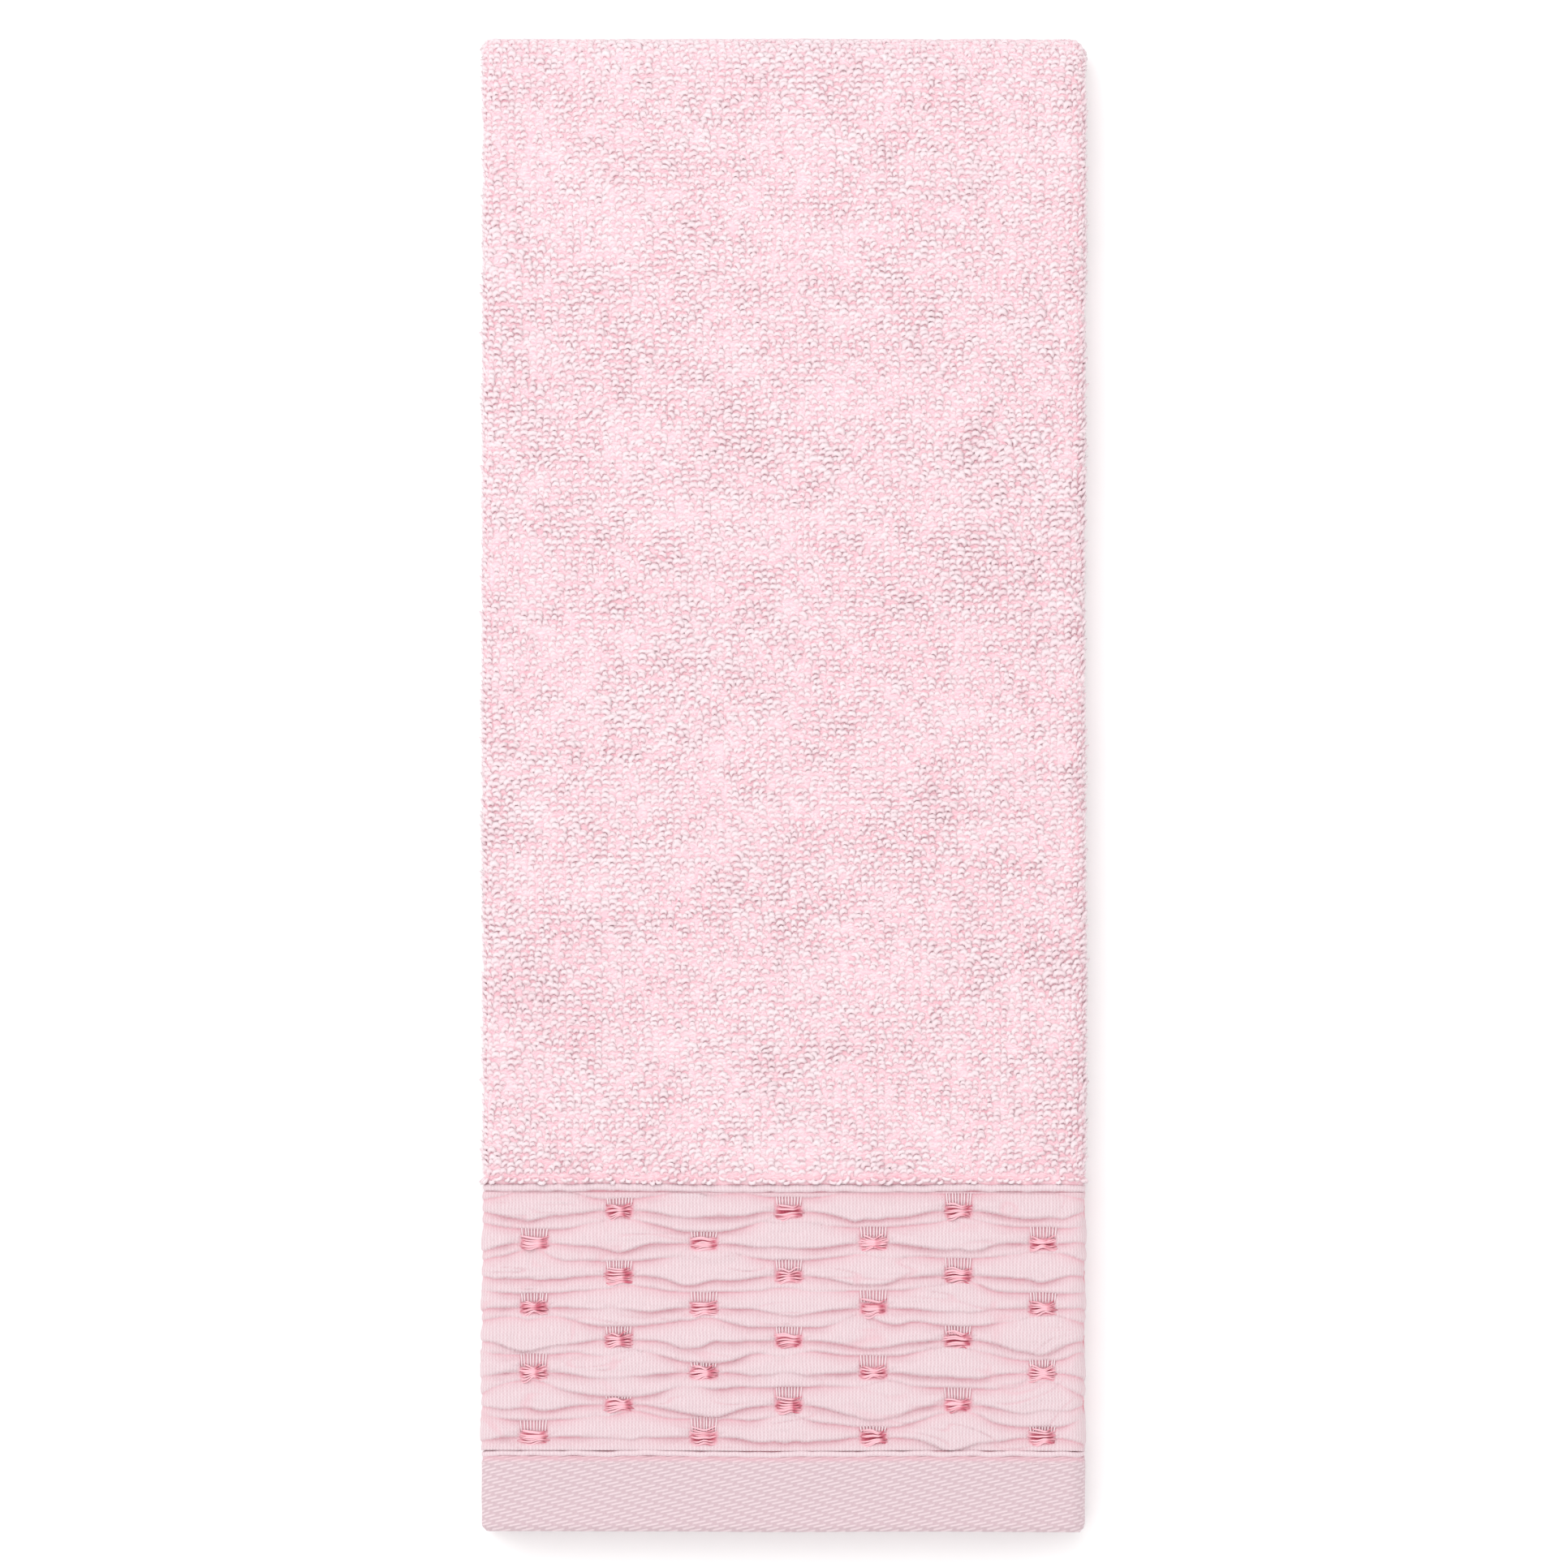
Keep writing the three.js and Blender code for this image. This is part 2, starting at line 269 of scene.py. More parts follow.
def strip(name, half, material, along, up, cells, depth, thickness, relief=None, creased=True,
          cuts=0, levels=None):
    """A closed strip of cloth, `thickness` thick, between two places along and up.

    Its back has cells[0] x cells[1] faces, and each edge of its front is cut `cuts` times more.
    relief(across, up) gives how far the front stands out there, and a value of `tuck` from 0
    on open cloth to 1 in a fold, which the materials paint as shade. across is measured from the
    middle of the centre panel.
    levels(along, share), where given, is how far up it has come at that share of its faces.
    """
    bm = bmesh.new()
    bmesh.ops.create_grid(bm, x_segments=cells[0], y_segments=cells[1], size=0.5)
    bmesh.ops.solidify(bm, geom=bm.faces[:], thickness=thickness)
    if cuts:
        front = [e for e in bm.edges if all(abs(v.co.z) < thickness / 2 for v in e.verts)]
        bmesh.ops.subdivide_edges(bm, edges=front, cuts=cuts, use_grid_fill=True)
    piece = finished(bm, name, material)
    mesh = piece.data
    flat = coordinates(mesh)
    behind = (np.abs(flat[:, 2]) > thickness / 2) * 1.0
    s = along[0] + (flat[:, 0] + 0.5) * (along[1] - along[0])
    t = up[0] + (flat[:, 1] + 0.5) * (up[1] - up[0])
    if levels:
        t = levels(s, flat[:, 1] + 0.5)
    height, tuck = relief(s - MIDDLE, t) if relief else (0 * s, 0 * s)
    below = depth + behind * thickness - height * (1 - 0.6 * behind)
    place(mesh, fold(half, s, t, below, creased))
    bm = bmesh.new()
    bm.from_mesh(mesh)
    bmesh.ops.recalc_face_normals(bm, faces=bm.faces)
    bm.to_mesh(mesh)
    bm.free()
    # The painted shade of the folds is stored for the materials, on the front only.
    mark(mesh, "tuck", tuck * (1 - behind))
    map_cloth(mesh, "cloth", s / MM, t / MM)
    return piece


# ---- Materials ----


def add(tree, kind, **values):
    """A node. Values named in0, in1, or by a socket's name, are set or linked."""
    made = tree.nodes.new("ShaderNode" + kind)
    for key, value in values.items():
        socket = None
        if key.startswith("in") and key[2:].isdigit():
            socket = made.inputs[int(key[2:])]
        elif key.replace("_", " ") in made.inputs:
            socket = made.inputs[key.replace("_", " ")]
        if socket is None:
            setattr(made, key, value)
        elif isinstance(value, bpy.types.NodeSocket):
            tree.links.new(value, socket)
        else:
            socket.default_value = value
    return made


def math_node(tree, operation, first, second=0.0):
    return add(tree, "Math", operation=operation, in0=first, in1=second).outputs[0]


def new_material(name, roughness, sheen):
    """A matt material; its node tree and its shader come with it."""
    material = bpy.data.materials.new(name)
    material.use_nodes = True
    tree = material.node_tree
    shader = tree.nodes["Principled BSDF"]
    shader.inputs["Roughness"].default_value = roughness
    shader.inputs["Sheen Weight"].default_value = sheen
    shader.inputs["Sheen Roughness"].default_value = 0.5
    shader.inputs["Specular IOR Level"].default_value = 0.2
    return material, tree, shader


def new_group(name, inputs, outputs):
    """A shader node group, with the outlets of its inputs and the inlets of its outputs."""
    group = bpy.data.node_groups.new(name, "ShaderNodeTree")
    for label, kind in inputs.items():
        group.interface.new_socket(label, in_out="INPUT", socket_type="NodeSocket" + kind)
    for label, kind in outputs.items():
        group.interface.new_socket(label, in_out="OUTPUT", socket_type="NodeSocket" + kind)
    start = group.nodes.new("NodeGroupInput").outputs
    end = group.nodes.new("NodeGroupOutput").inputs
    return group, start, end


PICK_WEIGHT = 0.7  # of the picks in a weave's height, against the ribs


def ribbed_weave_group():
    """Plain weave with ribs: Height for the bump, and Shade, 0 between threads to 1 on them."""
    group, given, result = new_group(
        "ribbed_weave",
        {"Cloth": "Vector", "Rib Pitch": "Float", "Pick Pitch": "Float"},
        {"Height": "Float", "Shade": "Float"},
    )
    parts = add(group, "SeparateXYZ", in0=given["Cloth"])
    uneven = add(group, "TexNoise", Vector=given["Cloth"], Scale=0.35, Detail=2.0)
    sway = math_node(group, "MULTIPLY", uneven.outputs["Fac"], 0.9)
    across = math_node(group, "ADD", parts.outputs["X"], sway)
    rib_turn = math_node(group, "DIVIDE", across, given["Rib Pitch"])
    rib = math_node(group, "SINE", math_node(group, "MULTIPLY", rib_turn, math.tau))
    step = math_node(group, "FLOOR", math_node(group, "MULTIPLY", rib_turn, 2.0))
    pick_turn = math_node(group, "DIVIDE", parts.outputs["Y"], given["Pick Pitch"])
    shifted = math_node(group, "ADD", pick_turn, math_node(group, "MULTIPLY", step, 0.5))
    pick = math_node(group, "SINE", math_node(group, "MULTIPLY", shifted, math.tau))
    mixed = math_node(group, "ADD", rib, math_node(group, "MULTIPLY", pick, PICK_WEIGHT))
    height = add(group, "MapRange", in0=mixed, in1=-1 - PICK_WEIGHT, in2=1 + PICK_WEIGHT).outputs[0]
    group.links.new(height, result["Height"])
    fibre = add(group, "TexNoise", Vector=given["Cloth"], Scale=2.4, Detail=3.0)
    shade = add(
        group, "Mix", data_type="FLOAT", in0=0.3, in2=height, in3=fibre.outputs["Fac"]
    )
    group.links.new(shade.outputs[0], result["Shade"])
    return group


def tuck_shade_group():
    """Cloth colour with painted shade: rose in the tucks, and deep rose in the beds of the floats.
    """
    group, given, result = new_group(
        "tuck_shade",
        {"Tuck": "Float", "Cloth Colour": "Color", "Rose": "Color", "Deep Rose": "Color"},
        {"Colour": "Color"},
    )
    in_tuck = add(group, "MapRange", in0=given["Tuck"], in1=0.0, in2=0.5).outputs[0]
    in_bed = add(group, "MapRange", in0=given["Tuck"], in1=0.5, in2=0.9).outputs[0]
    tinted = mix_colour(group, in_tuck, given["Cloth Colour"], given["Rose"])
    group.links.new(mix_colour(group, in_bed, tinted, given["Deep Rose"]), result["Colour"])
    return group


def spun_yarn_group():
    """Tone of a thread with its uneven fibres, and the Height of the fibres for the bump."""
    group, given, result = new_group(
        "spun_yarn",
        {"Tone": "Float", "Place": "Vector", "Fineness": "Float", "Unevenness": "Float"},
        {"Shade": "Float", "Height": "Float"},
    )
    fibre = add(group, "TexNoise", Vector=given["Place"], Scale=given["Fineness"]).outputs["Fac"]
    uneven = given["Unevenness"]
    shade = add(group, "Mix", data_type="FLOAT", in0=uneven, in2=given["Tone"], in3=fibre)
    group.links.new(shade.outputs[0], result["Shade"])
    group.links.new(fibre, result["Height"])
    return group


def colours(tree, factor, *stops):
    """Colour ramp output; each stop is (place, (r, g, b)) in scene-linear colour."""
    ramp = add(tree, "ValToRGB", in0=factor)
    elements = ramp.color_ramp.elements
    while len(elements) < len(stops):
        elements.new(0.5)
    for element, (spot, colour) in zip(elements, stops, strict=True):
        element.position = spot
        element.color = (*colour, 1)
    return ramp.outputs[0]


def mix_colour(tree, factor, first, second, blend="MIX"):
    """Blends two colours, each a socket or (r, g, b)."""
    made = add(tree, "Mix", data_type="RGBA", blend_type=blend, in0=factor)
    for socket, value in ((made.inputs[6], first), (made.inputs[7], second)):
        if isinstance(value, bpy.types.NodeSocket):
            tree.links.new(value, socket)
        else:
            socket.default_value = (*value, 1)
    return made.outputs[2]


# Scene-linear cotton colours. The pile's root and bed colours, the rose of the tucks and beds, and
# the floats' sunk colour are painted shade.
PILE_TIP = (0.815, 0.690, 0.721)
# The pile's root colour is painted shade, for the pink shade down in the pile.
PILE_ROOT_SHADE = (0.835, 0.500, 0.570)
# Both colours of the pile bed are painted shade, the pink between the loops.
SHADED_GROUND_LIGHT = (0.870, 0.670, 0.710)
SHADED_GROUND_DARK = (0.830, 0.475, 0.545)
WEAVE_LIGHT = (0.723, 0.594, 0.625)
WEAVE_DARK = (0.634, 0.469, 0.505)
# Painted shade: rose in the tucks, deep rose in the beds under the floats.
TUCK_SHADE_ROSE = (0.720, 0.375, 0.435)
BED_SHADE_ROSE = (0.500, 0.055, 0.105)
HEM_LIGHT = (0.712, 0.575, 0.608)
HEM_DARK = (0.545, 0.405, 0.442)
FLOAT_LIGHT = (0.850, 0.490, 0.550)
# The floats' sunk colour is painted shade.
FLOAT_SHADE_ROSE = (0.500, 0.060, 0.115)
ROLL_LIGHT = (0.732, 0.603, 0.634)
ROLL_DARK = (0.660, 0.500, 0.540)
COMB_LIGHT = (0.830, 0.714, 0.741)
YARN_SHADOW = (0.93, 0.86, 0.88)  # what the dull side of the pile yarn is darkened by

# The hem's twill, in mm: its lines, their climb, and the floats along them.
TWILL_PITCH = 0.98
TWILL_CLIMB = -0.21
TWILL_FLOAT = 4.7
TWILL_STEP = 0.38  # share of a float by which each line is shifted

RIBBED_WEAVE = ribbed_weave_group()
TUCK_SHADE = tuck_shade_group()
SPUN_YARN = spun_yarn_group()


def shaded(tree, plain):
    """The cloth's plain colour with the painted rose shade of its tucks and of the beds of the
    floats.
    """
    tuck = add(tree, "Attribute", attribute_name="tuck").outputs["Fac"]
    shade = add(tree, "Group", node_tree=TUCK_SHADE, Tuck=tuck, Cloth_Colour=plain,
                Rose=(*TUCK_SHADE_ROSE, 1), Deep_Rose=(*BED_SHADE_ROSE, 1))
    return shade.outputs[0]


def spun(tree, fineness, unevenness):
    """Shade and height of a thread whose piece stores `tone`, from 0, sunk, to 1, lit."""
    tone = add(tree, "Attribute", attribute_name="tone").outputs["Fac"]
    inside = add(tree, "TexCoord").outputs["Object"]
    yarn = add(tree, "Group", node_tree=SPUN_YARN, Tone=tone, Place=inside, Fineness=fineness,
               Unevenness=unevenness)
    return yarn.outputs["Shade"], yarn.outputs["Height"]


def surfaced(tree, shader, colour, height, strength, distance):
    """Gives the shader its colour, and a bump of that height."""
    tree.links.new(colour, shader.inputs["Base Color"])
    relief = add(tree, "Bump", Height=height, Strength=strength, Distance=distance)
    tree.links.new(relief.outputs[0], shader.inputs["Normal"])


def terry_material():
    """The pile's yarn, pale at the tips of the loops, with painted shade that deepens its pink
    towards their feet.
    """
    material, tree, shader = new_material("terry_loops", 0.95, 0.25)
    rise = add(tree, "Attribute", attribute_name="rise").outputs["Fac"]
    shade, fibres = spun(tree, 2600.0, 0.25)
    # Painted shade: the yarn deepens to the root colour towards the feet of the loops.
    yarn = colours(tree, rise, (0.0, PILE_ROOT_SHADE), (0.75, PILE_TIP))
    darker = mix_colour(tree, 1.0, yarn, YARN_SHADOW, "MULTIPLY")
    colour = mix_colour(tree, shade, darker, yarn)
    surfaced(tree, shader, colour, fibres, 0.5, 0.15 * MM)
    return material


def pile_bed_material():
    """What shows between the loops: slanted strokes of the yarn further down, in the pinks of
    painted shade.
    """
    material, tree, shader = new_material("pile_bed", 0.95, 0.25)
    flat = add(tree, "UVMap", uv_map="cloth").outputs[0]
    drawn_out = add(tree, "Mapping", Vector=flat, Scale=(0.6, 1.7, 1.0)).outputs[0]
    strokes = add(tree, "TexNoise", Vector=drawn_out, Scale=1.0, Detail=2.0, Distortion=1.2)
    height = add(tree, "MapRange", in0=strokes.outputs["Fac"], in1=0.34, in2=0.64).outputs[0]
    # Both bed colours are painted shade, the pink that falls between the loops.
    colour = colours(tree, height, (0.0, SHADED_GROUND_DARK), (1.0, SHADED_GROUND_LIGHT))
    surfaced(tree, shader, colour, height, 0.35, 0.3 * MM)
    return material


def weave_material(name, rib_pitch, pick_pitch, light, dark, bump):
    """Plain ribbed cloth; the pitches are in mm."""
    material, tree, shader = new_material(name, 0.88, 0.15)
    flat = add(tree, "UVMap", uv_map="cloth").outputs[0]
    weave = add(tree, "Group", node_tree=RIBBED_WEAVE, Cloth=flat, Rib_Pitch=rib_pitch,
                Pick_Pitch=pick_pitch)
    plain = colours(tree, weave.outputs["Shade"], (0.25, dark), (0.7, light))
    # The weave takes the painted shade of its tucks.
    surfaced(tree, shader, shaded(tree, plain), weave.outputs["Height"], bump, 0.2 * MM)
    return material


def twill_material():
    """Slightly climbing lines of long floats, each line shifted against the last."""
    material, tree, shader = new_material("hem_twill", 0.85, 0.15)
    flat = add(tree, "UVMap", uv_map="cloth").outputs[0]
    parts = add(tree, "SeparateXYZ", in0=flat)
    climb = math_node(tree, "MULTIPLY", parts.outputs["X"], TWILL_CLIMB)
    climbed = math_node(tree, "ADD", parts.outputs["Y"], climb)
    line = math_node(tree, "DIVIDE", climbed, TWILL_PITCH)
    row = math_node(tree, "FLOOR", line)
    across = math_node(tree, "PINGPONG", line, 0.5)
    run = math_node(tree, "DIVIDE", parts.outputs["X"], TWILL_FLOAT)
    shifted = math_node(tree, "ADD", run, math_node(tree, "MULTIPLY", row, TWILL_STEP))
    dash = math_node(tree, "PINGPONG", shifted, 0.5)
    ridge = add(tree, "MapRange", in0=across, in1=0.05, in2=0.4).outputs[0]
    broken = add(tree, "MapRange", in0=dash, in1=0.08, in2=0.2).outputs[0]
    height = math_node(tree, "MULTIPLY", ridge, broken)
    fibre = add(tree, "TexNoise", Vector=flat, Scale=1.6, Detail=3.0).outputs["Fac"]
    shade = add(tree, "Mix", data_type="FLOAT", in0=0.35, in2=height, in3=fibre).outputs[0]
    plain = colours(tree, shade, (0.15, HEM_DARK), (0.75, HEM_LIGHT))
    # The twill takes the painted shade of its tucks.
    surfaced(tree, shader, shaded(tree, plain), height, 0.7, 0.25 * MM)
    return material


def yarn_material(name, roughness, sunk, lit):
    """A thread that goes from one colour where it's sunk to another where it's lit."""
    material, tree, shader = new_material(name, roughness, 0.2)
    shade, fibres = spun(tree, 2200.0, 0.18)
    colour = colours(tree, shade, (0.0, sunk), (0.75, lit))
    surfaced(tree, shader, colour, fibres, 0.3, 0.08 * MM)
    return material


TERRY_LOOPS = terry_material()
PILE_BED = pile_bed_material()
GATHERED = weave_material("gathered_weave", 0.98, 0.85, WEAVE_LIGHT, WEAVE_DARK, 0.9)
ROLLED = weave_material("rolled_weave", 0.98, 0.7, ROLL_LIGHT, ROLL_DARK, 0.6)
TURNED_EDGE = weave_material("turned_edge", 0.7, 0.9, WEAVE_LIGHT, WEAVE_DARK, 0.8)
TWILL = twill_material()
ROSE_FLOATS = yarn_material("rose_floats", 0.45, FLOAT_SHADE_ROSE, FLOAT_LIGHT)
COMB_YARN = yarn_material("comb_yarn", 0.75, TUCK_SHADE_ROSE, COMB_LIGHT)
SEWING_YARN = yarn_material("sewing_yarn", 0.75, HEM_DARK, HEM_LIGHT)


# ---- Terry ----

LOOP_COLUMN = 2.0 * MM
LOOP_ROW = 1.75 * MM
LOOP_RADIUS = 0.80 * MM  # of the arch that a loop of pile makes
LOOP_TALL = 1.9  # how much taller than a half ring it is
YARN_RADIUS = 0.48 * MM
PILE_DEPTH = 1.30 * MM  # of the ground cloth's face under the tips of the loops
PIECE_TRIANGLES = 190_000
# Mean, slow change over the cloth, and spread from loop to loop.
LOOP_YAW = (0.12, 0.42, 0.26)
LOOP_LEAN = (1.05, 0.15, 0.16)
LOOP_SIZE = (1.00, 0.10, 0.08)
LOOP_TONE = (0.60, 0.20, 0.22)
LOOP_WIDTH = (1.15, 0.25, 0.14)


def loop_arch(name, sides, steps):
    """One loop of pile: an arch of yarn, whose two ends run to a point inside the ground cloth."""
    reach = math.radians(216)
    bm = bmesh.new()
    ring = bmesh.ops.create_circle(bm, segments=sides, radius=YARN_RADIUS)["verts"]
    bmesh.ops.rotate(bm, verts=ring, matrix=Matrix.Rotation(math.pi / 2, 3, "Z"))
    bmesh.ops.translate(bm, verts=ring, vec=(-LOOP_RADIUS, 0, 0))
    lowered = Matrix.Rotation((math.pi - reach) / 2, 3, "Y")
    bmesh.ops.rotate(bm, verts=ring, matrix=lowered)
    made = bmesh.ops.spin(
        bm, geom=bm.edges[:] + bm.verts[:], cent=(0, 0, 0), axis=(0, 1, 0), angle=reach, steps=steps
    )
    last = [g for g in made["geom_last"] if isinstance(g, bmesh.types.BMVert)]
    for end in (ring, last):
        middle = sum((v.co for v in end), Vector()) / len(end)
        bmesh.ops.pointmerge(bm, verts=end, merge_co=middle)
    return finished(bm, name, TERRY_LOOPS)


def pile(name, half, along, up, sides, steps, spacing=1.0, creased=True):
    """Loops of pile over a stretch of the front face, in as many pieces as they need."""
    columns = round((along[1] - along[0]) / (spacing * LOOP_COLUMN))
    rows = round((up[1] - up[0]) / (spacing * LOOP_ROW))
    triangles = 2 * sides * (steps - 1)
    bands = math.ceil(rows / (PIECE_TRIANGLES // (triangles * columns)))
    pieces = []
    for band in range(bands):
        first, last = rows * band // bands, rows * (band + 1) // bands
        loop = loop_arch(f"{name}_{band + 1}", sides, steps)
        points = len(loop.data.vertices)
        piece = repeated(loop, columns, last - first)
        lay_loops(piece.data, points, half, along, up, columns, rows, first, creased)
        pieces.append(belongs(piece, half, "terry"))
    return pieces


def varied(kind, slow, rng):
    """Values around the mean of that kind, one for each value of the slow change."""
    mean, waver, spread = kind
    return mean + waver * slow + rng.normal(0, spread, len(slow))


def lay_loops(mesh, points, half, along, up, columns, rows, first_row, creased):
    """Sets each loop on its root, swaying and leaning as washed terry does."""
    count = len(mesh.vertices) // points
    shape = coordinates(mesh).reshape(count, points, 3)
    number = np.arange(count)
    column, row = number % columns, first_row + number // columns
    rng = np.random.default_rng([columns, rows, first_row])
    s = along[0] + (column + 0.5) * (along[1] - along[0]) / columns
    t = up[0] + (row + 0.5) * (up[1] - up[0]) / rows
    s = s + 0.35 * MM * drift(20, s, t, 30 * MM, 4 * MM) + rng.normal(0, 0.28 * MM, count)
    t = t + rng.normal(0, 0.33 * MM, count)
    s = np.clip(s, along[0] + 0.3 * LOOP_RADIUS, along[1] - 0.3 * LOOP_RADIUS)
    t = np.clip(t, up[0] + YARN_RADIUS, up[1] - YARN_RADIUS)

    yaw = varied(LOOP_YAW, drift(21, s, t, 8 * MM, 5 * MM), rng)
    lean = varied(LOOP_LEAN, drift(22, s, t, 12 * MM, 8 * MM), rng)
    # The first row leans back over the welt.
    lean = np.where(row == 0, -0.5 * lean, lean)
    t = np.where(row == 0, t + 0.3 * LOOP_ROW, t)
    size = varied(LOOP_SIZE, drift(23, s, t, 25 * MM, 18 * MM), rng)
    size = np.clip(size, 0.8, 1.25)[:, None]
    tone = varied(LOOP_TONE, drift(24, s, t, 12 * MM, 8 * MM), rng)

    a, b, h = (shape[:, :, axis] for axis in range(3))
    rise = np.clip(h / LOOP_RADIUS, 0, 1)
    turn = np.arctan2(np.maximum(h, 0), a) / np.pi
    side = (b / YARN_RADIUS + 1) / 2
    wide = varied(LOOP_WIDTH, drift(25, s, t, 9 * MM, 6 * MM), rng)
    a = a * size * wide[:, None]
    h = h * size * LOOP_TALL * (1 + 0.08 * rng.normal(0, 1, (count, 1)))
    lean = lean[:, None]
    b, h = b * np.cos(lean) + h * np.sin(lean), h * np.cos(lean) - b * np.sin(lean)
    yaw = yaw[:, None]
    a, b = a * np.cos(yaw) - b * np.sin(yaw), a * np.sin(yaw) + b * np.cos(yaw)
    depth = PILE_DEPTH - h
    t = t[:, None] + b
    if creased:
        t = squeezed(t, *LOOP_PRESS)
    places = fold(half, (s[:, None] + a).ravel(), t.ravel(), depth.ravel(), creased)
    place(mesh, places)
    # rise, the height up each loop, carries the pile's painted shade from root to tip.
    mark(mesh, "rise", rise.ravel())
    mark(mesh, "tone", np.repeat(np.clip(tone, 0, 1), points))
    cells = math.ceil(math.sqrt(count))
    u = (number[:, None] % cells + 0.1 + 0.8 * turn) / cells
    v = (number[:, None] // cells + 0.15 + 0.7 * side) / cells
    map_cloth(mesh, "OFBake", u.ravel(), v.ravel())


# ---- Cloth ----

CLOTH = 0.7 * MM  # thickness of the woven ground
GROUND_DEPTH = PILE_DEPTH - 0.45 * MM  # of its face, which the feet of the loops are sunk in
FACE_SPAN = (LEFT_FOLD - 4 * MM, RIGHT_FLAP)  # what shows of the centre panel and its two folds
FLAP_INSIDE = (RIGHT_FLAP, CLOTH_WIDTH - SIDE_HEM)
FLAP_TOP = HINGE_Y - 2.2 * MM  # the right flap runs on flat, under the crease of the face
PILE_FOOT = (TERRY[0] - MM, TERRY[0] + 0.5 * MM)  # where the ground cloth sinks under the border
PILE_SINKS = 1.15 * MM  # how far
TUCKED_RISE = 5 * MM  # how far the tucked flap runs on past the start of the crease
BAND_SPARE = 4 * MM  # how far the crease band runs on at each end
BAND_DEPTH = GROUND_DEPTH + CLOTH + 0.05 * MM
BAND_CLOTH = 0.4 * MM


def under_pile(across, up):
    """Relief of the ground cloth, which lies deeper under the border and the hem."""
    bare = np.clip((PILE_FOOT[1] - up) / (PILE_FOOT[1] - PILE_FOOT[0]), 0, 1)
    return -PILE_SINKS * bare, 0 * across


def cloth_levels(stops, along, share):
    """How far up the ground cloth has come; stops are (place, faces from the last one to it)."""
    places = [place_of for place_of, _ in stops]
    faces = np.cumsum([count for _, count in stops])
    up = np.interp(share * faces[-1], faces, places)
    # The tucked flap ends before the crease has turned as far as the face's.
    tucked = np.clip((LEFT_FOLD - along) / (6 * MM), 0, 1)
    turned = np.maximum(up - CREASE_Y, 0) / (CREASE_END - CREASE_Y)
    return up - tucked * turned * (CREASE_END - CREASE_Y - TUCKED_RISE)


def cloth(half):
    """The two panels of each half, which the pile, the border and the hems are on."""
    start = HEM[0] + MM
    for_face = [(start, 0), (PILE_FOOT[0], 6), (PILE_FOOT[1], 1), (CREASE_Y, 30), (CREASE_END, 20)]
    for_flap = [(start, 0), (PILE_FOOT[0], 6), (PILE_FOOT[1], 1), (FLAP_TOP, 30)]
    panels = []
    for label, span, stops, columns in (
        ("face", (MM, RIGHT_FLAP), for_face, 130),
        ("flap", (RIGHT_FLAP, CLOTH_WIDTH - MM), for_flap, 60),
    ):
        faces = sum(count for _, count in stops)
        panels.append(
            strip(f"{half}_{label}_cloth", half, PILE_BED, span, (start, stops[-1][0]),
                  (columns, faces), GROUND_DEPTH, CLOTH, under_pile, creased=label == "face",
                  levels=partial(cloth_levels, stops))
        )
    face, flap = panels
    belongs(face, half, "terry", "centre_panel_terry", "left_flap_terry")
    belongs(flap, half, "terry", "right_flap_terry")
    return face, flap


def crease_band():
    """The cloth that runs on through the crease, from the lower half on into the upper."""
    reach = CREASE_END - CREASE_Y + BAND_SPARE
    span = (LEFT_FOLD + MM, RIGHT_FLAP - MM)
    stretch_up = (CREASE_END - reach, CREASE_END + reach)
    band = strip("crease_band", "both", PILE_BED, span, stretch_up, (120, 40), BAND_DEPTH,
                 BAND_CLOTH)
    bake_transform(band)


def terry(half):
    """The pile of the face and of the flap; the upper face's is the finest."""
    sides, steps, spacing = (4, 5, 1.0) if half == "upper" else (3, 4, 1.04)
    face = pile(f"{half}_face_pile", half, FACE_SPAN, (TERRY[0], CREASE_END), sides, steps, spacing)
    flap = pile(f"{half}_flap_pile", half, FLAP_INSIDE, (TERRY[0], FLAP_TOP), 3, 4, 1.08,
                creased=False)
    return face, flap


# ---- Smocked border ----

KNOT_SPACING = 46.7 * MM
KNOT_SHIFT = 1.3 * MM
KNOT_HALF = 3.6 * MM
KNOT_TALL = 2.15 * MM  # half its height
COMB_REACH = 4.3 * MM  # from a knot's middle up to the tuck above it
PUFF_HEIGHT = 1.4 * MM
BORDER_FACE = 1.6 * MM  # depth of the bottom of the tucks
CLOSEST_TUCKS = 0.9 * MM
GATHERED_CLOTH = 0.9 * MM  # thickness of the gathered cloth
PUFF_SWELL = 0.66  # share of a puff over which it rises
PUFF_LIP = 0.75 * MM  # length over which it is rounded off at its lower end
PUFF_PITCH = 4.4 * MM  # length of a puff of full height
KNOT_RAYS = 0.28 * MM  # height of the wrinkles that fan out from a knot
PUCKERS = 0.22 * MM  # height of the fine wrinkles all over
WRINKLES = 0.30 * MM  # depth of the long ones
SIDE_ROUND = 0.95 * MM  # how far the cloth stands out where it goes round the folds
ROUNDED_FROM = 76 * MM  # distance from the middle where that starts


def knot_shift(row):
    """Where a row's first knot is; every second row lies half way between the others."""
    return KNOT_SHIFT + (row % 2) * KNOT_SPACING / 2


def pulled(across):
    """How far the gathering is drawn in where it goes round the right fold."""
    round_fold = np.clip((across - 72 * MM) / (19 * MM), 0, 1)
    return 8.5 * MM * round_fold * round_fold * (3 - 2 * round_fold)


def off_knot(row, across):
    """Distance to the nearest knot of that row, with its sign."""
    away = across + pulled(across) - knot_shift(row)
    return away - KNOT_SPACING * np.round(away / KNOT_SPACING)


def slack(row, across):
    """0 at the knots of a row, 1 half way between them."""
    reach = (np.abs(off_knot(row, across)) - KNOT_HALF) / (KNOT_SPACING / 2 - KNOT_HALF)
    return np.sin(np.clip(reach, 0, 1) * np.pi / 2) ** 2


